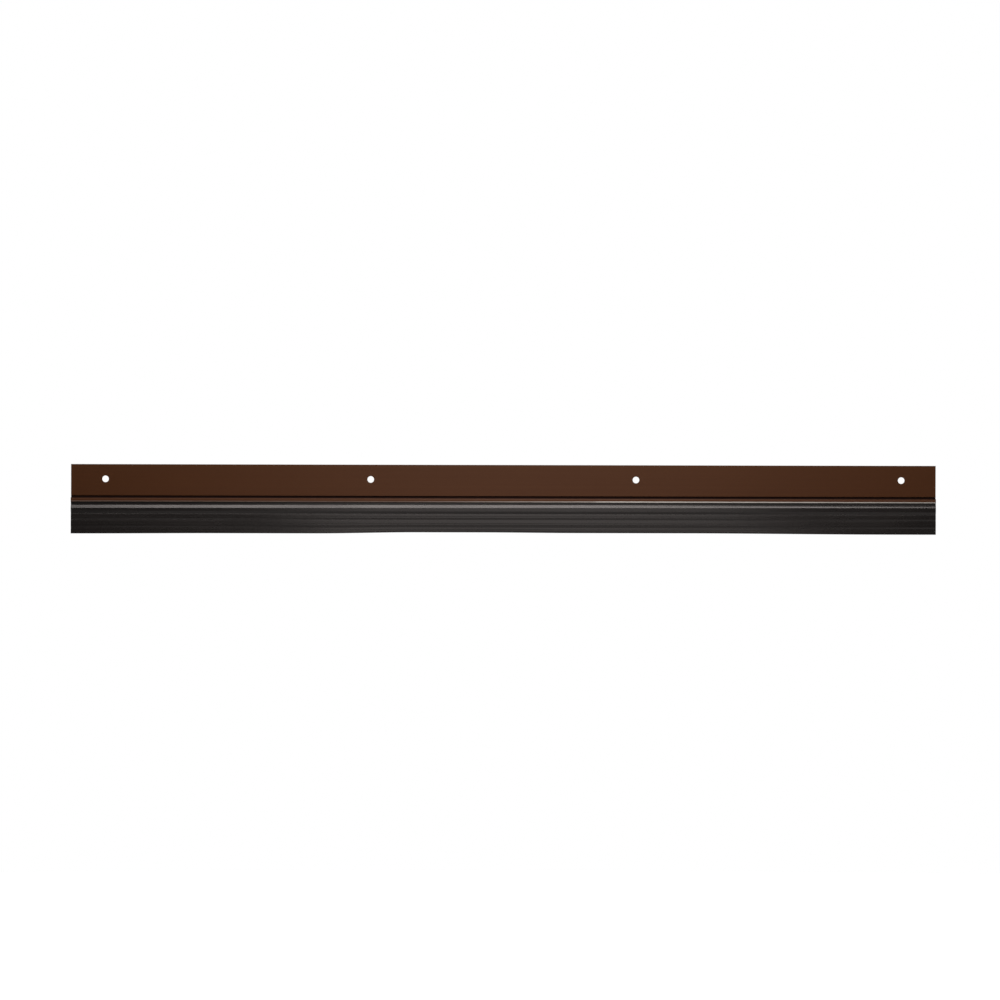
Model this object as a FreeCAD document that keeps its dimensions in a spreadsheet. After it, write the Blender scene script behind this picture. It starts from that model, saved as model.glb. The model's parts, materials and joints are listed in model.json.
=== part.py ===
"""Door sweep: an aluminium carrier that holds a ribbed vinyl insert along the bottom of a door.

Frame: +X along the sweep, +Z up, -Y towards the room. The back of the carrier, which lies on the
door, is the plane y = 0, and the origin is on it, midway along the line of screw holes.

Every section is drawn in the YZ plane and extruded along X. Heights are given as drops: distances
down from the carrier's top edge. Depths are distances forwards from the door's face, so a point's
y is minus its depth.
"""

import FreeCAD, Part
import math
import os
import Sketcher

# alias, value in millimetres (or degrees, or a plain count), meaning
DIMENSIONS = [
    ("sweep_length", 914.4, "length of the carrier and of the insert"),
    ("sweep_height", 72.8, "whole sweep, from its top edge to the tip of the fin"),
    ("carrier_height", 39.8, "carrier, from its top edge to the bottom of its lips"),
    ("flange_thickness", 1.4, "carrier's flat flange, and the back wall of its channel"),
    ("edge_radius", 0.3, "rounding of the carrier's outer edges"),
    ("hole_drop", 15.6, "centre line of the screw holes"),
    ("hole_diameter", 7.0, "screw holes"),
    ("hole_pitch", 280.5, "from one screw hole to the next"),
    ("hole_count", 4, "screw holes"),
    ("hole_rim_radius", 0.25, "rounding that the punch leaves at each hole's front edge"),
    ("groove_drop", 33.1, "top of the groove over the channel"),
    ("groove_width", 2.0, "groove over the channel"),
    ("groove_depth", 0.7, "groove, into the flange"),
    ("groove_corner_radius", 0.2, "inside corners of the groove"),
    ("channel_depth", 5.5, "channel, from the door's face to its front"),
    ("channel_wall", 1.2, "top and front walls of the channel"),
    ("channel_corner_radius", 0.8, "inside top corners of the channel"),
    ("shoulder_radius", 2.0, "channel's upper front edge"),
    ("lip_height", 0.9, "lips that keep the insert in the channel"),
    ("lip_radius", 0.8, "channel's lower front edge"),
    ("mouth_back_depth", 2.0, "back of the channel's mouth"),
    ("mouth_front_depth", 3.6, "front of the channel's mouth"),
    ("mouth_radius", 0.25, "rounding of the lips at the mouth"),
    ("fit_gap", 0.1, "clearance between the insert and the channel, all round"),
    ("barb_height", 0.9, "sloping shoulders of the insert's head"),
    ("barb_inset", 0.7, "how much narrower the head is at its top, each side"),
    ("neck_front_depth", 4.3, "front of the insert just under the channel"),
    ("nose_back_depth", 0.6, "back of the insert's hollow nose"),
    ("nose_front_depth", 5.7, "front of the insert's hollow nose"),
    ("slope_top_drop", 42.1, "top of the nose's sloping face"),
    ("slope_bottom_drop", 45.7, "bottom of the nose's sloping face"),
    ("nose_bottom_drop", 47.6, "where the nose's front turns under"),
    ("nose_under_radius", 1.95, "underside of the nose at the front"),
    ("nose_heel_drop", 48.3, "where the nose's back turns under"),
    ("nose_corner_radius", 0.3, "rounding of the nose's outer corners"),
    ("nose_wall", 1.3, "wall round the nose's hollow"),
    ("hollow_top_drop", 42.0, "top of the nose's hollow"),
    ("hollow_bottom_drop", 48.0, "bottom of the nose's hollow"),
    ("hollow_corner_radius", 0.4, "corners of the nose's hollow"),
    ("flex_drop", 50.1, "flex line of the fin"),
    ("flex_depth", 3.3, "flex line of the fin"),
    ("root_radius", 0.85, "rounded root of the fin, about the flex line"),
    ("socket_gap", 0.05, "clearance round the fin's root"),
    ("socket_angle", 45, "half of the arc that the nose covers over the root"),
    ("upper_rib_drop", 50.9, "top of the upper rib"),
    ("rib_valley_drop", 58.4, "valley between the two ribs"),
    ("lower_rib_drop", 66.8, "bottom of the lower rib"),
    ("upper_rib_radius", 12.0, "convex front of the upper rib"),
    ("lower_rib_radius", 16.3, "convex front of the lower rib"),
    ("fin_bend_drop", 62.0, "where the fin's back starts to lean forwards"),
    ("tip_front_depth", 4.3, "front of the fin at its tip"),
    ("tip_back_depth", 3.2, "back of the fin at its tip"),
    ("tip_radius", 0.4, "rounding of the fin's tip"),
]

ANTICLOCKWISE = 1
CLOCKWISE = -1
SAME_PLACE = 0.01  # mm, for finding an edge by where it is


class Size:
    """A length that keeps the sheet expression it comes from, so that sums of sizes stay bound."""

    def __init__(self, value, text=None):
        self.value = value
        self.text = text or str(value)

    def joined(self, sign, other, value):
        return Size(value, f"({self.text} {sign} {other.text})")

    def __add__(self, other):
        return self.joined("+", other, self.value + other.value)

    def __sub__(self, other):
        return self.joined("-", other, self.value - other.value)

    def __mul__(self, other):
        return self.joined("*", other, self.value * other.value)

    def __truediv__(self, other):
        return self.joined("/", other, self.value / other.value)

    def __neg__(self):
        return Size(-self.value, f"(-{self.text})")


NOTHING = Size(0)
ONE = Size(1)
TWO = Size(2)


def sine(angle):
    return Size(math.sin(math.radians(angle.value)), f"sin({angle.text})")


def cosine(angle):
    return Size(math.cos(math.radians(angle.value)), f"cos({angle.text})")


def make_sheet(document):
    """Put the driving dimensions in a spreadsheet, and return them by name."""
    sheet = document.addObject("Spreadsheet::Sheet", "Sizes")
    table = {}
    for row, (alias, value, meaning) in enumerate(DIMENSIONS, start=1):
        sheet.set(f"A{row}", meaning)
        sheet.set(f"B{row}", str(value))
        sheet.setAlias(f"B{row}", alias)
        table[alias] = Size(value, f"Sizes.{alias}")
    document.recompute()
    return table


doc = FreeCAD.newDocument("door_sweep")
size = make_sheet(doc)


def point(depth, drop):
    """A corner of a section, as its y and z."""
    return (-depth, size["hole_drop"] - drop)


def arc_from(corner, radius, turn):
    """A corner of a section from which an arc, and not a straight line, runs to the next one."""
    return (*corner, radius, turn)


def bind(holder, path, length):
    holder.setExpression(path, length.text)


def constrain(sketch, *definition):
    """Add a constraint. A Size that ends its definition stays bound to the sheet."""
    length = definition[-1]
    if not isinstance(length, Size):
        return sketch.addConstraint(Sketcher.Constraint(*definition))
    number = sketch.addConstraint(Sketcher.Constraint(*definition[:-1], length.value))
    bind(sketch, f"Constraints[{number}]", length)
    return number


def new_body(name):
    body = doc.addObject("PartDesign::Body", name)
    body.Label = name
    body.Placement = FreeCAD.Placement()
    return body


def new_sketch(body, name, plane_role):
    """A sketch on one of the body's own origin planes."""
    planes = [plane for plane in body.Origin.OriginFeatures if plane.Role == plane_role]
    sketch = body.newObject("Sketcher::SketchObject", name)
    sketch.AttachmentSupport = (planes[0], [""])
    sketch.MapMode = "FlatFace"
    return sketch


def arc_geometry(start, end, radius, turn):
    """The shorter arc from start to end that turns the given way."""
    chord = end - start
    across = FreeCAD.Vector(-chord.y, chord.x, 0).normalize()
    rise = math.sqrt(radius**2 - (chord.Length / 2) ** 2)
    centre = (start + end) / 2 + across * (rise * turn)
    first, last = (start, end) if turn == ANTICLOCKWISE else (end, start)
    angles = [math.atan2(place.y - centre.y, place.x - centre.x) for place in (first, last)]
    circle = Part.Circle(centre, FreeCAD.Vector(0, 0, 1), radius)
    return Part.ArcOfCircle(circle, angles[0], angles[1])


def draw_outline(sketch, corners):
    """Draw a closed outline whose corners, and the radii of whose arcs, are bound to the sheet."""
    places = [FreeCAD.Vector(corner[0].value, corner[1].value, 0) for corner in corners]
    edges = []
    for corner, start, end in zip(corners, places, places[1:] + places[:1]):
        if len(corner) == 2:
            edge = sketch.addGeometry(Part.LineSegment(start, end), False)
            edges.append((edge, 1, 2))
        else:
            radius, turn = corner[2:]
            arc = arc_geometry(start, end, radius.value, turn)
            edge = sketch.addGeometry(arc, False)
            edges.append((edge, 1, 2) if turn == ANTICLOCKWISE else (edge, 2, 1))
            constrain(sketch, "Radius", edge, radius)
    for corner, this_edge, next_edge in zip(corners, edges, edges[1:] + edges[:1]):
        edge, start, end = this_edge
        constrain(sketch, "Coincident", edge, end, next_edge[0], next_edge[1])
        constrain(sketch, "DistanceX", -1, 1, edge, start, corner[0])
        constrain(sketch, "DistanceY", -1, 1, edge, start, corner[1])


def extrude(body, name, corners):
    """Extrude a section along X, half the sweep's length each way."""
    sketch = new_sketch(body, f"{name}_section", "YZ_Plane")
    draw_outline(sketch, corners)
    pad = body.newObject("PartDesign::Pad", name)
    pad.Profile = sketch
    pad.SideType = "Symmetric"
    bind(pad, "Length", size["sweep_length"])
    doc.recompute()
    return pad


def cut_through(body, name, sketch):
    """Cut a sketch through the whole body, both ways, and check that it cuts."""
    volume_before = body.Shape.Volume
    pocket = body.newObject("PartDesign::Pocket", name)
    pocket.Profile = sketch
    pocket.SideType = "Symmetric"
    pocket.Type = "ThroughAll"
    doc.recompute()
    if body.Shape.Volume >= volume_before:
        raise RuntimeError(f"{name} cuts nothing")
    return pocket


def long_edges(feature, corners):
    """Names of the edges along X that pass through the given corners of a section."""
    names = []
    for index, edge in enumerate(feature.Shape.Edges, start=1):
        if edge.BoundBox.XLength < size["sweep_length"].value - SAME_PLACE:
            continue
        middle = edge.CenterOfMass
        gaps = [math.hypot(middle.y - y.value, middle.z - z.value) for y, z in corners]
        if min(gaps) < SAME_PLACE:
            names.append(f"Edge{index}")
    if len(names) != len(corners):
        raise RuntimeError(f"{feature.Name}: {len(names)} edges for {len(corners)} corners")
    return names


def round_edges(body, name, base, edge_names, radius):
    fillet = body.newObject("PartDesign::Fillet", name)
    fillet.Base = (base, edge_names)
    bind(fillet, "Radius", radius)
    doc.recompute()
    return fillet


def round_corners(body, base, roundings):
    """Round the long edges at each group of a section's corners, one fillet for each group."""
    for name, corners, radius in roundings:
        base = round_edges(body, name, base, long_edges(base, corners), radius)
    return base


def channel_cavity_top():
    return size["groove_drop"] + size["groove_width"] + size["channel_wall"]


def build_carrier():
    """Aluminium extrusion: a flat flange over a channel with a lip on each side of its mouth."""
    body = new_body("carrier")
    door_face = NOTHING
    top = NOTHING
    bottom = size["carrier_height"]
    flange = size["flange_thickness"]
    groove_floor = flange - size["groove_depth"]
    groove_bottom = size["groove_drop"] + size["groove_width"]
    front = size["channel_depth"]
    front_wall = front - size["channel_wall"]
    lip_top = bottom - size["lip_height"]

    top_back = point(door_face, top)
    top_front = point(flange, top)
    groove_edge = point(flange, size["groove_drop"])
    groove_corners = [point(groove_floor, size["groove_drop"]), point(groove_floor, groove_bottom)]
    shoulder = point(front, groove_bottom)
    front_lip = point(front, bottom)
    front_mouth = point(size["mouth_front_depth"], bottom)
    cavity_front = point(front_wall, channel_cavity_top())
    cavity_back = point(flange, channel_cavity_top())
    back_mouth = point(size["mouth_back_depth"], bottom)
    back_lip = point(door_face, bottom)
    section = [
        top_back,
        top_front,
        groove_edge,
        *groove_corners,
        shoulder,
        front_lip,
        front_mouth,
        point(size["mouth_front_depth"], lip_top),
        point(front_wall, lip_top),
        cavity_front,
        cavity_back,
        point(flange, lip_top),
        point(size["mouth_back_depth"], lip_top),
        back_mouth,
        back_lip,
    ]
    profile = extrude(body, "carrier_profile", section)
    outer_edges = [top_back, top_front, groove_edge, back_lip]
    roundings = [
        ("shoulder_rounding", [shoulder], size["shoulder_radius"]),
        ("lip_rounding", [front_lip], size["lip_radius"]),
        ("mouth_rounding", [front_mouth, back_mouth], size["mouth_radius"]),
        ("groove_rounding", groove_corners, size["groove_corner_radius"]),
        ("cavity_rounding", [cavity_front, cavity_back], size["channel_corner_radius"]),
        ("edge_rounding", outer_edges, size["edge_radius"]),
    ]
    round_corners(body, profile, roundings)
    punch_screw_holes(body)
    return body


def punch_screw_holes(body):
    """Round screw holes, evenly spaced along the flange, with softly rounded front rims."""
    gaps = size["hole_count"] - ONE
    radius = size["hole_diameter"] / TWO
    first_x = -(size["hole_pitch"] * gaps) / TWO
    sketch = new_sketch(body, "screw_hole_centre", "XZ_Plane")
    centre = FreeCAD.Vector(first_x.value, 0, 0)
    circle = sketch.addGeometry(Part.Circle(centre, FreeCAD.Vector(0, 0, 1), radius.value), False)
    constrain(sketch, "PointOnObject", circle, 3, -1)
    constrain(sketch, "DistanceX", -1, 1, circle, 3, first_x)
    constrain(sketch, "Radius", circle, radius)
    hole = cut_through(body, "screw_hole", sketch)

    row = body.newObject("PartDesign::LinearPattern", "screw_hole_row")
    row.Originals = [hole]
    row.Direction = (sketch, ["H_Axis"])
    bind(row, "Length", size["hole_pitch"] * gaps)
    bind(row, "Occurrences", size["hole_count"])
    body.Tip = row
    doc.recompute()

    rims = []
    for index, edge in enumerate(row.Shape.Edges, start=1):
        at_front = abs(edge.CenterOfMass.y + size["flange_thickness"].value) < SAME_PLACE
        if at_front and edge.isClosed():
            rims.append(f"Edge{index}")
    if len(rims) != size["hole_count"].value:
        raise RuntimeError(f"{len(rims)} screw hole rims")
    round_edges(body, "screw_hole_rims", row, rims, size["hole_rim_radius"])


def build_insert_head():
    """Upper part of the vinyl insert: barbed head, neck, and the hollow nose under the channel."""
    body = new_body("insert_head")
    gap = size["fit_gap"]
    head_top = channel_cavity_top() + gap
    barb_bottom = head_top + size["barb_height"]
    head_bottom = size["carrier_height"] - size["lip_height"] - gap
    head_back = size["flange_thickness"] + gap
    head_front = size["channel_depth"] - size["channel_wall"] - gap
    neck_back = size["mouth_back_depth"] + gap
    neck_front = size["mouth_front_depth"] - gap
    nose_top = size["carrier_height"] + gap
    nose_back = size["nose_back_depth"]
    nose_front = size["nose_front_depth"]

    socket_radius = size["root_radius"] + size["socket_gap"]
    socket_reach = socket_radius * sine(size["socket_angle"])
    socket_drop = size["flex_drop"] - socket_radius * cosine(size["socket_angle"])
    socket_front = point(size["flex_depth"] + socket_reach, socket_drop)
    socket_back = point(size["flex_depth"] - socket_reach, socket_drop)

    barbs = [point(head_front, barb_bottom), point(head_back, barb_bottom)]
    nose_front_top = point(size["neck_front_depth"], nose_top)
    slope_bottom = point(nose_front, size["slope_bottom_drop"])
    nose_under = point(nose_front, size["nose_bottom_drop"])
    nose_heel = point(nose_back, size["nose_heel_drop"])
    nose_back_top = point(nose_back, nose_top)
    section = [
        point(head_back + size["barb_inset"], head_top),
        point(head_front - size["barb_inset"], head_top),
        barbs[0],
        point(head_front, head_bottom),
        point(neck_front, head_bottom),
        point(neck_front, nose_top),
        nose_front_top,
        point(size["neck_front_depth"], size["slope_top_drop"]),
        slope_bottom,
        arc_from(nose_under, size["nose_under_radius"], ANTICLOCKWISE),
        arc_from(socket_front, socket_radius, CLOCKWISE),
        socket_back,
        nose_heel,
        nose_back_top,
        point(neck_back, nose_top),
        point(neck_back, head_bottom),
        point(head_back, head_bottom),
        barbs[1],
    ]
    profile = extrude(body, "insert_profile", section)
    outer_corners = [*barbs, nose_front_top, slope_bottom, nose_heel, nose_back_top]
    round_corners(
        body, profile, [("nose_rounding", outer_corners, size["nose_corner_radius"])]
    )
    hollow_out_nose(body)
    return body


def hollow_out_nose(body):
    """Lengthwise hollow that leaves the nose an even wall, open at both ends."""
    wall = size["nose_wall"]
    back = size["nose_back_depth"] + wall
    upper_front = size["neck_front_depth"] - wall
    front = size["nose_front_depth"] - wall
    corners = [
        point(back, size["hollow_top_drop"]),
        point(upper_front, size["hollow_top_drop"]),
        point(front, size["slope_bottom_drop"]),
        point(front, size["nose_bottom_drop"]),
        point(upper_front, size["hollow_bottom_drop"]),
        point(back, size["hollow_bottom_drop"]),
    ]
    sketch = new_sketch(body, "nose_hollow_section", "YZ_Plane")
    draw_outline(sketch, corners)
    hollow = cut_through(body, "nose_hollow", sketch)
    round_corners(
        body, hollow, [("hollow_rounding", corners, size["hollow_corner_radius"])]
    )


def build_sweep_fin():
    """Flexible fin of the insert: a rounded root, two convex ribs and a thinner leaning tip."""
    body = new_body("sweep_fin")
    root = size["root_radius"]
    front = size["flex_depth"] + root
    back = size["flex_depth"] - root
    root_back = point(back, size["flex_drop"])
    root_top = point(size["flex_depth"], size["flex_drop"] - root)
    upper_rib = point(front, size["upper_rib_drop"])
    lower_rib = point(front, size["rib_valley_drop"])
    tip_corners = [
        point(size["tip_front_depth"], size["sweep_height"]),
        point(size["tip_back_depth"], size["sweep_height"]),
    ]
    section = [
        arc_from(root_back, root, ANTICLOCKWISE),
        arc_from(root_top, root, ANTICLOCKWISE),
        point(front, size["flex_drop"]),
        arc_from(upper_rib, size["upper_rib_radius"], ANTICLOCKWISE),
        arc_from(lower_rib, size["lower_rib_radius"], ANTICLOCKWISE),
        point(front, size["lower_rib_drop"]),
        *tip_corners,
        point(back, size["fin_bend_drop"]),
    ]
    profile = extrude(body, "fin_profile", section)
    round_corners(body, profile, [("tip_rounding", tip_corners, size["tip_radius"])])
    return body


def check_document():
    """Stop if any object failed to compute, or if a sketch can still move."""
    for item in doc.Objects:
        if "Invalid" in item.State or "Error" in item.State:
            raise RuntimeError(f"{item.Name} is {item.State}")
        if item.TypeId == "Sketcher::SketchObject" and not item.FullyConstrained:
            raise RuntimeError(f"{item.Name} is not fully constrained")


def write_parts(bodies):
    """Write each sub-part, once all are checked, to parts/NODE.step."""
    for body in bodies:
        if body.Shape.isNull() or not body.Shape.isValid():
            raise RuntimeError(f"{body.Label} has no valid shape")
    os.makedirs("parts", exist_ok=True)
    for body in bodies:
        body.Shape.exportStep(f"parts/{body.Label}.step")
        box = body.Shape.BoundBox
        print(f"{body.Label}: {len(body.Shape.Solids)} solid, {body.Shape.Volume:.0f} mm3")
        print(f"  y {box.YMin:.2f} to {box.YMax:.2f}, z {box.ZMin:.2f} to {box.ZMax:.2f}")


bodies = [build_carrier(), build_insert_head(), build_sweep_fin()]
doc.recompute()
check_document()
write_parts(bodies)
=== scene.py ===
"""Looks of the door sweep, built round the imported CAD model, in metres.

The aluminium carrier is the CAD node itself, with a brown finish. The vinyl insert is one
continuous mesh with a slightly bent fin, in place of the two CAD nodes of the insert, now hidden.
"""

import json
import math

import bmesh
import bpy
import numpy as np
from mathutils import Matrix, Vector


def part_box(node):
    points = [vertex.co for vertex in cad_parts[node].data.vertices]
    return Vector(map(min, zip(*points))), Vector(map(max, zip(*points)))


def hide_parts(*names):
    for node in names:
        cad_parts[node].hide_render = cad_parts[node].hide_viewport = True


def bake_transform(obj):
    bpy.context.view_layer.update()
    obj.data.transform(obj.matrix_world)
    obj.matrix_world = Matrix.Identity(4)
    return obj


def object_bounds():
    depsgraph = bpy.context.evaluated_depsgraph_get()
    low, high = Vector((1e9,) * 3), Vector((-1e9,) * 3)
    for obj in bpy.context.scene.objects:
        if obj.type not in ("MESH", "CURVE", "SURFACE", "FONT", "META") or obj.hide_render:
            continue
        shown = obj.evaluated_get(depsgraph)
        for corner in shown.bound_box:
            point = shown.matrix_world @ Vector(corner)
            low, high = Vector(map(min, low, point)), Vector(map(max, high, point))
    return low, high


MM = 0.001

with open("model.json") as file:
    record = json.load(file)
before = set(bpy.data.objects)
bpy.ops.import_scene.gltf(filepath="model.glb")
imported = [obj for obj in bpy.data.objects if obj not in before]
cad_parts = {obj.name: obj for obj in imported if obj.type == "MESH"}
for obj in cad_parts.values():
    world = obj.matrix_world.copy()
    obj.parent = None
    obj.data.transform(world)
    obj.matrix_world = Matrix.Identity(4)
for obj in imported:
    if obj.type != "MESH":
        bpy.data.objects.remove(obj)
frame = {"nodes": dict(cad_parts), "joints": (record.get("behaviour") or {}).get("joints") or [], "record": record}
cad_low, cad_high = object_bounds()
carrier_low, carrier_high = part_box("carrier")
head_low, head_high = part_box("insert_head")
fin_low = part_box("sweep_fin")[0]
flex_line = Vector(frame["joints"][0]["pos_m"])
mounts = {mount["name"]: mount for mount in frame["record"]["mounts"]}
hole_radius = mounts["screw_holes_outer"]["dims"]["hole_r_mm"] * MM
half_length = carrier_high.x
flange_front_y = -1.4 * MM
groove_top = carrier_high.z - 33.1 * MM
groove_bottom = carrier_high.z - 35.1 * MM


# ---------------------------------------------------------------- section of the insert


def smooth_step(low, high, value):
    """0 below low, 1 above high, and a smooth ramp between them."""
    t = np.clip((value - low) / (high - low), 0.0, 1.0)
    return t * t * (3 - 2 * t)


def rounded_outline(corners, arc_step=math.radians(15), guard=0.05 * MM):
    """Points of a closed outline from its (y, z, radius) corners. A guard point beyond each end
    of a rounding keeps the shading of the flat faces beside it flat."""
    points = []
    for index, (y, z, radius) in enumerate(corners):
        corner = Vector((y, z))
        if radius == 0:
            points.append(corner)
            continue
        before = (Vector(corners[index - 1][:2]) - corner).normalized()
        after = (Vector(corners[(index + 1) % len(corners)][:2]) - corner).normalized()
        half_angle = before.angle(after) / 2
        tangent = radius / math.tan(half_angle)
        centre = corner + (before + after).normalized() * (radius / math.sin(half_angle))
        start = corner + before * tangent - centre
        turn = start.angle_signed(corner + after * tangent - centre)
        steps = max(3, math.ceil(abs(turn) / arc_step))
        points.append(corner + before * (tangent + guard))
        for step in range(steps + 1):
            points.append(centre + Matrix.Rotation(-turn * step / steps, 2) @ start)
        points.append(corner + after * (tangent + guard))
    return points


def subdivided(points, longest):
    """The same closed outline, with no two neighbouring points further apart than longest."""
    finer = []
    for point, following in zip(points, points[1:] + points[:1]):
        pieces = max(1, math.ceil((following - point).length / longest))
        finer += [point.lerp(following, piece / pieces) for piece in range(pieces)]
    return finer


rib_valleys = [flex_line.z - 1.8 * MM, flex_line.z - 8.1 * MM, flex_line.z - 16.7 * MM, fin_low.z]
rib_crests = [0.5 * MM, 0.6 * MM, 0.3 * MM]
minor_groove_depth = 0.14 * MM
minor_groove_width = 0.45 * MM
half_thickness = 0.85 * MM
fin_front_y = flex_line.y - half_thickness
fin_back_y = flex_line.y + half_thickness
tip_front_y = -4.3 * MM
tip_back_y = -3.2 * MM
back_bend_z = flex_line.z - 11.9 * MM
flare_top = rib_valleys[2]


def fin_front(z):
    """y of the fin's ribbed front, which flares below its second rib. There is a crest between
    each two valleys, with a minor groove along it."""
    y = fin_front_y
    if z < flare_top:
        flare = (flare_top - z) / (flare_top - fin_low.z)
        y += (tip_front_y - fin_front_y) * flare
    for top, bottom, crest in zip(rib_valleys, rib_valleys[1:], rib_crests):
        if bottom <= z <= top:
            across = 2 * (top - z) / (top - bottom) - 1
            from_crest = across * (top - bottom) / 2
            y -= crest * (1 - across**2)
            y += minor_groove_depth * math.exp(-((from_crest / minor_groove_width) ** 2))
    return y


def insert_outline():
    """Closed outline of the whole insert: over its head, down the front and up the back."""
    head_back, head_front = -1.5 * MM, -4.2 * MM
    neck_back, neck_front = -2.1 * MM, -3.5 * MM
    barb_inset, barb_height = 0.7 * MM, 0.9 * MM
    head_bottom = head_high.z - 2.4 * MM
    nose_top = carrier_low.z - 0.1 * MM
    slot_top_y, slot_bottom_y = -4.2 * MM, -3.8 * MM
    slope_top = nose_top - 2.55 * MM
    slope_top_y = -4.35 * MM
    slope_bottom = nose_top - 5.65 * MM
    nose_turn = flex_line.z + 3.5 * MM
    under_turn = flex_line.z + 0.6 * MM
    nose_front, nose_back = head_low.y, head_high.y
    heel = flex_line.z + 1.8 * MM
    corners = [
        (head_back - barb_inset, head_high.z, 0.15 * MM),
        (head_front + barb_inset, head_high.z, 0.15 * MM),
        (head_front, head_high.z - barb_height, 0.2 * MM),
        (head_front, head_bottom, 0.1 * MM),
        (neck_front, head_bottom, 0),
        (neck_front, nose_top, 0),
        (slot_top_y, nose_top, 0.2 * MM),
        (slot_bottom_y, slope_top + 0.1 * MM, 0.1 * MM),
        (slope_top_y, slope_top, 0.1 * MM),
        (nose_front, slope_bottom, 0.35 * MM),
        (nose_front, nose_turn, 1.5 * MM),
        (nose_front + 0.28 * MM, under_turn, 2.0 * MM),
    ]
    rib_step = 0.2 * MM
    rib_top = rib_valleys[0]
    for step in range(int((rib_top - fin_low.z) / rib_step)):
        z = rib_top - rib_step * step
        corners.append((fin_front(z), z, 0))
    corners += [
        (fin_front(fin_low.z), fin_low.z, 0.35 * MM),
        (tip_back_y, fin_low.z, 0.35 * MM),
        (fin_back_y, back_bend_z, 0),
        (fin_back_y, flex_line.z + 0.7 * MM, 0.3 * MM),
        (nose_back, heel, 0.5 * MM),
        (nose_back, nose_top, 0.3 * MM),
        (neck_back, nose_top, 0),
        (neck_back, head_bottom, 0),
        (head_back, head_bottom, 0.1 * MM),
        (head_back, head_high.z - barb_height, 0.2 * MM),
    ]
    return subdivided(rounded_outline(corners), longest=0.8 * MM)


def hollow_outline():
    """Closed outline of the hollow in the nose, which leaves an even wall round it."""
    back, middle, front = -1.9 * MM, -3.0 * MM, -4.4 * MM
    top = carrier_low.z - 2.2 * MM
    bottom = flex_line.z + 2.1 * MM
    slope_height = 3.7 * MM
    rounding = 0.4 * MM
    corners = [
        (back, top, rounding),
        (middle, top, rounding),
        (front, top - slope_height, rounding),
        (front, bottom + 0.4 * MM, rounding),
        (middle, bottom, 0),
        (back, bottom, rounding),
    ]
    return rounded_outline(corners)


# ---------------------------------------------------------------- mesh of the insert


def inward(outline, distance):
    """The outline with every point moved towards its inside."""
    places = np.array([tuple(point) for point in outline])
    along = np.roll(places, -1, axis=0) - np.roll(places, 1, axis=0)
    along /= np.linalg.norm(along, axis=1, keepdims=True)
    return places + distance * np.column_stack([-along[:, 1], along[:, 0]])


def edge_rise(x):
    """How far the free edge sits above its usual level at x: up in the middle, down at the left."""
    rise = 1.4 * MM * smooth_step(-200 * MM, -90 * MM, x)
    rise *= 1 - 0.35 * smooth_step(-20 * MM, 80 * MM, x)
    rise *= 1 - smooth_step(200 * MM, 400 * MM, x)
    return rise - 0.6 * MM * smooth_step(300 * MM, half_length, -x)


def edge_sway(x):
    """How far the free edge sits behind its usual place at x: it waves, and leans back as it rises."""
    long_wave = 0.5 * MM * math.sin(x * 13.0 + 0.6)
    short_wave = 0.25 * MM * math.sin(x * 31.0 + 2.0)
    lean_per_rise = 1.4
    return long_wave + short_wave + lean_per_rise * edge_rise(x)


def relaxed(places, x):
    """Section points at x as the vinyl really lies: its nose is not quite level from end to end,
    and the lower part of its fin follows the free edge."""
    nose_lift = 0.1 * MM + 0.0019 * x
    full_lift_depth = 4.2 * MM + 0.0025 * x
    depth = carrier_low.z - places[:, 1]
    above_fin = places[:, 1] - flex_line.z
    on_nose = smooth_step(0.8 * MM, full_lift_depth, depth) * smooth_step(0, 3 * MM, above_fin)
    below = np.clip(-above_fin, 0, None)
    reach = flex_line.z - fin_low.z
    moved = places.copy()
    moved[:, 0] += edge_sway(x) * (below / reach) ** 2
    moved[:, 1] += edge_rise(x) * smooth_step(0.5 * reach, reach, below)
    moved[:, 1] += nose_lift * on_nose
    return moved


def sweep_sections(mesh, outline, stations, facing):
    """Copies of the outline at each station along X, joined by quads. Facing is 1 for an outer skin
    and -1 for the wall of a hollow. Returns the rows of vertices at the two ends."""
    rows = []
    for x, shrink in stations:
        places = relaxed(inward(outline, shrink * facing), x)
        rows.append([mesh.verts.new((x, y, z)) for y, z in places])
    for row, next_row in zip(rows, rows[1:]):
        for index in range(len(row)):
            following = (index + 1) % len(row)
            face = [row[index], row[following], next_row[following], next_row[index]]
            mesh.faces.new(face if facing > 0 else face[::-1])
    return rows[0], rows[-1]


def loop_edges(row):
    """The edges that join a closed row of vertices."""
    edges = []
    for first, second in zip(row, row[1:] + row[:1]):
        edges += [edge for edge in first.link_edges if edge.other_vert(first) == second]
    return edges


def make_insert():
    """The vinyl insert as one closed mesh, with its cut ends softened."""
    cut_softening = 0.1 * MM
    spacing = 4 * MM
    inner = half_length - cut_softening
    count = round(2 * inner / spacing)
    stations = [(-half_length, cut_softening)]
    stations += [(-inner + 2 * inner * step / count, 0) for step in range(count + 1)]
    stations += [(half_length, cut_softening)]
    mesh = bmesh.new()
    outer_ends = sweep_sections(mesh, insert_outline(), stations, 1)
    hollow_ends = sweep_sections(mesh, hollow_outline(), stations, -1)
    for outer, hollow in zip(outer_ends, hollow_ends):
        edges = loop_edges(outer) + loop_edges(hollow)
        bmesh.ops.triangle_fill(mesh, edges=edges, use_beauty=True)
    bmesh.ops.recalc_face_normals(mesh, faces=mesh.faces)
    data = bpy.data.meshes.new("vinyl_insert")
    mesh.to_mesh(data)
    mesh.free()
    data.shade_smooth()
    data.set_sharp_from_angle(angle=math.radians(32))
    insert = bpy.data.objects.new("vinyl_insert", data)
    bpy.context.scene.collection.objects.link(insert)
    return insert


# ---------------------------------------------------------------- materials


range_sockets = ("From Min", "From Max", "To Min", "To Max")


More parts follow.
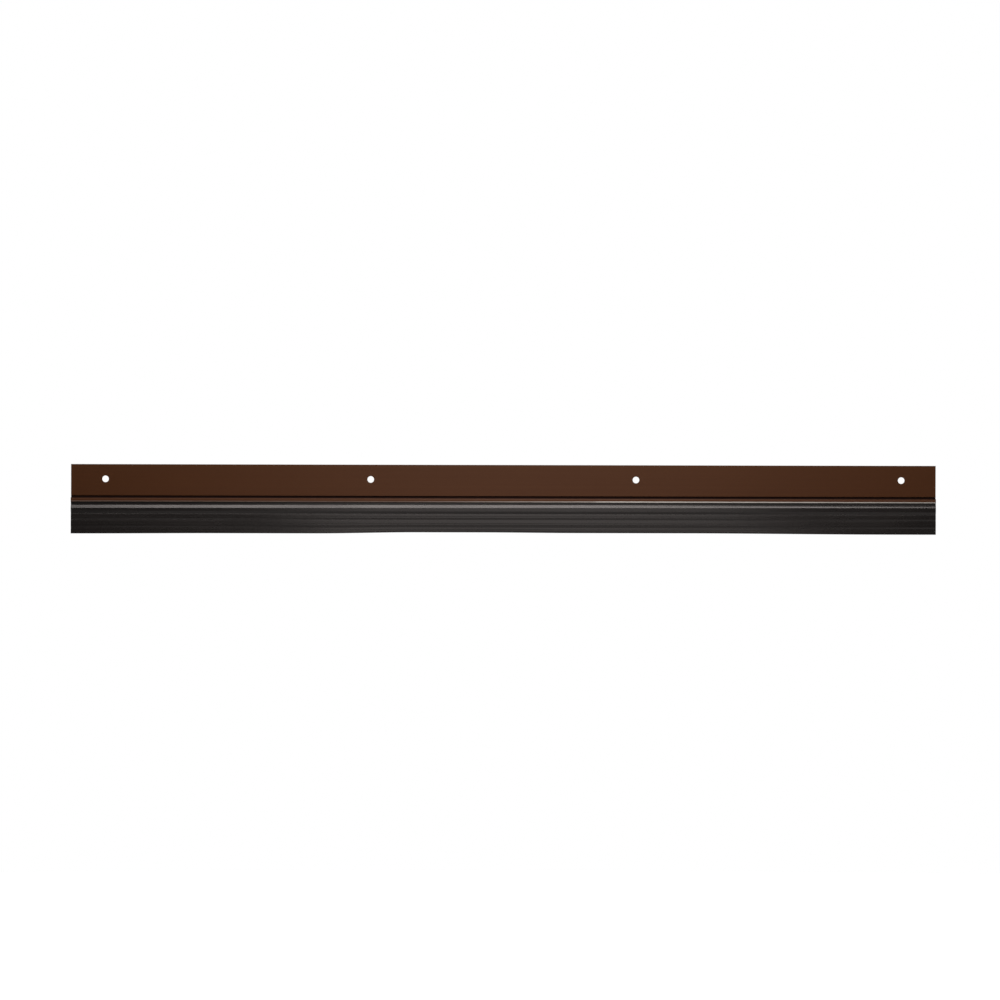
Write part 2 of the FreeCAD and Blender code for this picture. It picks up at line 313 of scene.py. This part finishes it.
class Material:
    """A Principled material, and short ways to add the nodes that drive it."""

    def __init__(self, name):
        self.data = bpy.data.materials.new(name)
        self.data.use_nodes = True
        self.tree = self.data.node_tree
        self.inputs = self.tree.nodes["Principled BSDF"].inputs
        self.place = self.tree.nodes.new("ShaderNodeTexCoord").outputs["Object"]
        self.normal = self.tree.nodes.new("ShaderNodeNewGeometry").outputs["Normal"]

    def link(self, source, target):
        """Feeds a socket from another node's output, or sets it to a plain number."""
        if isinstance(source, bpy.types.NodeSocket):
            self.tree.links.new(source, target)
        else:
            target.default_value = source

    def noise(self, scale, detail=3.0):
        """Noise in the object's own space. A small scale along X stretches it along the sweep."""
        mapping = self.tree.nodes.new("ShaderNodeMapping")
        mapping.inputs["Scale"].default_value = scale
        self.link(self.place, mapping.inputs["Vector"])
        node = self.tree.nodes.new("ShaderNodeTexNoise")
        node.inputs["Scale"].default_value = 1.0
        node.inputs["Detail"].default_value = detail
        self.link(mapping.outputs["Vector"], node.inputs["Vector"])
        return node.outputs["Fac"]

    def remap(self, value, start, end, low, high):
        """Low where the value is at or before start, high from end on, and straight between."""
        node = self.tree.nodes.new("ShaderNodeMapRange")
        for name, number in zip(range_sockets, (start, end, low, high)):
            self.link(number, node.inputs[name])
        self.link(value, node.inputs["Value"])
        return node.outputs["Result"]

    def math(self, operation, first, second=0.0):
        node = self.tree.nodes.new("ShaderNodeMath")
        node.operation = operation
        self.link(first, node.inputs[0])
        self.link(second, node.inputs[1])
        return node.outputs["Value"]

    def mix_colour(self, factor, first, second):
        node = self.tree.nodes.new("ShaderNodeMix")
        node.data_type = "RGBA"
        self.link(factor, node.inputs["Factor"])
        self.link(first, node.inputs["A"])
        self.link(second, node.inputs["B"])
        return node.outputs["Result"]

    def axis(self, vector, name):
        node = self.tree.nodes.new("ShaderNodeSeparateXYZ")
        self.link(vector, node.inputs["Vector"])
        return node.outputs[name]

    def size_of(self, vector, name):
        return self.math("ABSOLUTE", self.axis(vector, name))

    def bump(self, height, distance, strength, normal=None):
        node = self.tree.nodes.new("ShaderNodeBump")
        node.inputs["Distance"].default_value = distance
        node.inputs["Strength"].default_value = strength
        self.link(height, node.inputs["Height"])
        if normal is not None:
            self.link(normal, node.inputs["Normal"])
        return node.outputs["Normal"]


def rgba(red, green, blue):
    return (red, green, blue, 1.0)


def on_cut(material):
    """1 on the sawn ends and inside the punched holes, 0 elsewhere."""
    end_skin = half_length - 0.02 * MM
    hole_row_half_height = hole_radius + 0.05 * MM
    at_end = material.math("GREATER_THAN", material.size_of(material.place, "X"), end_skin)
    in_hole_row = material.math("LESS_THAN", material.size_of(material.place, "Z"), hole_row_half_height)
    edge_on = material.math("LESS_THAN", material.size_of(material.normal, "Y"), 0.3)
    in_hole = material.math("MULTIPLY", in_hole_row, edge_on)
    return material.math("MAXIMUM", at_end, in_hole)


def rub_and_highlight_on_lip(material):
    """How far the finish is rubbed off the channel's front lip: wear, and also a painted highlight, since the bare
    metal grows towards the right end, where the edge catches more light.
    """
    along = material.axis(material.place, "X")
    depth = material.axis(material.place, "Y")
    height = material.axis(material.place, "Z")
    low_enough = material.remap(height, carrier_low.z + 1.2 * MM, carrier_low.z + 1.6 * MM, 1.0, 0.0)
    in_front = material.remap(depth, carrier_low.y + 0.5 * MM, carrier_low.y + 0.9 * MM, 1.0, 0.0)
    # Painted highlight: the rub grows from left to right as the edge's highlight does, with a sharp rise past the
    # middle.
    faint_rub_and_highlight = material.remap(along, -100 * MM, 90 * MM, 0.12, 0.6)
    full_rub_and_highlight = material.remap(along, 85 * MM, 100 * MM, 0.0, 1.0)
    patches = material.remap(material.noise((60, 300, 300), 4.0), 0.3, 0.7, 0.8, 1.0)
    rub_and_highlight = material.math("MULTIPLY", low_enough, in_front)
    rub_and_highlight = material.math("MULTIPLY", rub_and_highlight, material.math("MAXIMUM", faint_rub_and_highlight, full_rub_and_highlight))
    return material.math("MULTIPLY", rub_and_highlight, patches)


def shade_painted_in_groove(material):
    """Where shade is painted on the front: 1 in the groove, fading out over the channel's shoulder below it."""
    depth = material.axis(material.place, "Y")
    height = material.axis(material.place, "Z")
    under_groove_top = material.math("LESS_THAN", height, groove_top)
    over_shoulder = material.remap(height, groove_bottom - 1.1 * MM, groove_bottom, 0.0, 1.0)
    on_front = material.math("LESS_THAN", depth, -0.2 * MM)
    groove_shade = material.math("MULTIPLY", under_groove_top, over_shoulder)
    return material.math("MULTIPLY", groove_shade, on_front)


def brown_finish():
    """Baked brown enamel over extruded aluminium, bare where it was sawn off, punched or rubbed, with painted
    shade in the groove and a painted highlight where the lip is rubbed bare.
    """
    material = Material("brown_finish")
    die_lines = material.noise((1.2, 900, 900), 4.0)
    mottle = material.noise((7, 30, 30), 3.0)
    orange_peel = material.noise((800, 800, 800), 2.0)
    saw_marks = material.noise((90, 1800, 300), 3.0)
    # Wear, partly a painted highlight: the lip's lower edge is bare metal, more of it towards the right end.
    rub_and_highlight = rub_and_highlight_on_lip(material)
    bare_metal_and_lip_highlight = material.math("MAXIMUM", on_cut(material), rub_and_highlight)
    # Painted shade: the groove and the top of the shoulder below it are darkened to near black and made rough.
    groove_shade = shade_painted_in_groove(material)

    enamel = material.mix_colour(mottle, rgba(0.087, 0.0281, 0.0064), rgba(0.1, 0.0335, 0.0077))
    streaks = material.remap(die_lines, 0.3, 0.7, 0.0, 0.35)
    enamel = material.mix_colour(streaks, enamel, rgba(0.0755, 0.0241, 0.0061))
    # Painted shade: near-black brown in the groove.
    enamel = material.mix_colour(groove_shade, enamel, rgba(0.0115, 0.0022, 0.0007))
    metal = material.mix_colour(saw_marks, rgba(0.78, 0.765, 0.715), rgba(0.97, 0.955, 0.895))

    material.link(material.mix_colour(bare_metal_and_lip_highlight, enamel, metal), material.inputs["Base Color"])
    material.link(bare_metal_and_lip_highlight, material.inputs["Metallic"])
    roughness = material.remap(die_lines, 0.25, 0.75, 0.43, 0.5)
    roughness = material.remap(groove_shade, 0.0, 1.0, roughness, 0.95)
    material.link(material.remap(rub_and_highlight, 0.0, 1.0, roughness, 0.45), material.inputs["Roughness"])
    material.inputs["Specular IOR Level"].default_value = 0.27
    lines = material.bump(die_lines, 0.02 * MM, 0.35)
    material.link(material.bump(orange_peel, 0.01 * MM, 0.25, lines), material.inputs["Normal"])
    return material.data


def black_vinyl():
    """Soft black vinyl: fine lines from the die along its length, and a faint uneven bloom."""
    material = Material("black_vinyl")
    die_lines = material.noise((0.5, 1100, 1100), 3.0)
    bloom = material.noise((9, 60, 60), 4.0)
    grain = material.noise((2500, 2500, 2500), 2.0)
    base = material.mix_colour(bloom, rgba(0.0125, 0.0105, 0.0098), rgba(0.0185, 0.0155, 0.0145))
    material.link(base, material.inputs["Base Color"])
    material.link(material.remap(bloom, 0.3, 0.7, 0.22, 0.3), material.inputs["Roughness"])
    material.inputs["Specular IOR Level"].default_value = 0.56
    lines = material.bump(die_lines, 0.02 * MM, 0.35)
    material.link(material.bump(grain, 0.01 * MM, 0.12, lines), material.inputs["Normal"])
    return material.data


def floor_white():
    """A pale, softly glowing surface."""
    material = Material("floor_white")
    material.inputs["Base Color"].default_value = rgba(0.82, 0.82, 0.82)
    material.inputs["Roughness"].default_value = 0.6
    material.inputs["Emission Color"].default_value = rgba(1, 1, 1)
    material.inputs["Emission Strength"].default_value = 0.9
    return material.data


def paint(obj, material):
    obj.data.materials.clear()
    obj.data.materials.append(material)


# ---------------------------------------------------------------- studio


def make_floor():
    """A plain, pale, softly lit floor, far below the sweep, that reaches out of sight."""
    bpy.ops.mesh.primitive_circle_add(vertices=96, radius=12, fill_type="NGON")
    floor = bpy.context.object
    floor.name = "studio_floor"
    floor.location = (0, 0, cad_low.z - 1.3)
    floor.visible_diffuse = False
    floor.visible_glossy = False
    paint(floor, floor_white())


def area_light(name, place, target, width, height, radiance):
    """A warm white panel aimed at the target, unseen by the camera. Radiance is its brightness,
    whatever its size."""
    light = bpy.data.lights.new(name, "AREA")
    light.shape = "RECTANGLE"
    light.size, light.size_y = width, height
    light.energy = radiance * math.pi * width * height
    light.color = (1.0, 0.92, 0.89)
    lamp = bpy.data.objects.new(name, light)
    bpy.context.scene.collection.objects.link(lamp)
    lamp.location = place
    lamp.rotation_euler = (Vector(target) - lamp.location).to_track_quat("-Z", "Y").to_euler()
    lamp.visible_camera = False


def make_lights():
    """A long strip above for the bright bands on the nose and lip, a small light overhead, a panel
    in front for the sheen of the upright faces, and one below for the faces that look down."""
    area_light("key_above", (0.03, -0.77, 0.76), (-0.03, 0, -0.02), 1.22, 0.21, radiance=6.3)
    area_light("top", (0, -0.3, 0.55), (0, 0, -0.02), 0.3, 0.2, radiance=6.0)
    area_light("fill_front", (0.03, -0.8, 0.09), (0.03, 0, -0.02), 0.56, 0.76, radiance=0.98)
    area_light("low_front", (0.1, -1.0, -0.9), (0.1, 0, -0.02), 1.3, 0.9, radiance=0.5)


def make_world():
    """White where the camera sees it. For all other light, a room that is dim in front of the
    sweep and brighter behind it."""
    world = bpy.data.worlds.new("studio")
    bpy.context.scene.world = world
    world.use_nodes = True
    tree = world.node_tree
    tree.nodes.clear()
    direction = tree.nodes.new("ShaderNodeTexCoord")
    split = tree.nodes.new("ShaderNodeSeparateXYZ")
    ramp = tree.nodes.new("ShaderNodeMapRange")
    for name, number in zip(range_sockets, (-0.2, 0.5, 0.05, 0.6)):
        ramp.inputs[name].default_value = number
    room = tree.nodes.new("ShaderNodeBackground")
    white = tree.nodes.new("ShaderNodeBackground")
    rays = tree.nodes.new("ShaderNodeLightPath")
    mix = tree.nodes.new("ShaderNodeMixShader")
    output = tree.nodes.new("ShaderNodeOutputWorld")
    links = tree.links
    links.new(direction.outputs["Generated"], split.inputs["Vector"])
    links.new(split.outputs["Y"], ramp.inputs["Value"])
    links.new(ramp.outputs["Result"], room.inputs["Strength"])
    links.new(rays.outputs["Is Camera Ray"], mix.inputs["Fac"])
    links.new(room.outputs["Background"], mix.inputs[1])
    links.new(white.outputs["Background"], mix.inputs[2])
    links.new(mix.outputs["Shader"], output.inputs["Surface"])
    room.inputs["Color"].default_value = rgba(1, 1, 1)
    white.inputs["Color"].default_value = rgba(1, 1, 1)


def make_camera():
    """A long lens, square on to the front and level with its middle, and rolled very slightly."""
    lens = bpy.data.cameras.new("camera")
    lens.lens = 170
    lens.sensor_width = 36
    view_width = 1.0576
    distance = view_width * lens.lens / lens.sensor_width
    target = Vector((-3.5 * MM, flange_front_y, -21.45 * MM))
    roll = Matrix.Rotation(math.radians(0.13), 3, "Z")
    camera = bpy.data.objects.new("camera", lens)
    bpy.context.scene.collection.objects.link(camera)
    camera.location = target + Vector((0, -distance, 0))
    camera.rotation_euler = (Matrix.Rotation(math.pi / 2, 3, "X") @ roll).to_euler()
    bpy.context.scene.camera = camera


paint(frame["nodes"]["carrier"], brown_finish())
insert = make_insert()
paint(insert, black_vinyl())
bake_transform(insert)
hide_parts("insert_head", "sweep_fin")
make_floor()
make_lights()
make_world()
make_camera()
bpy.context.scene.view_settings.view_transform = "Standard"
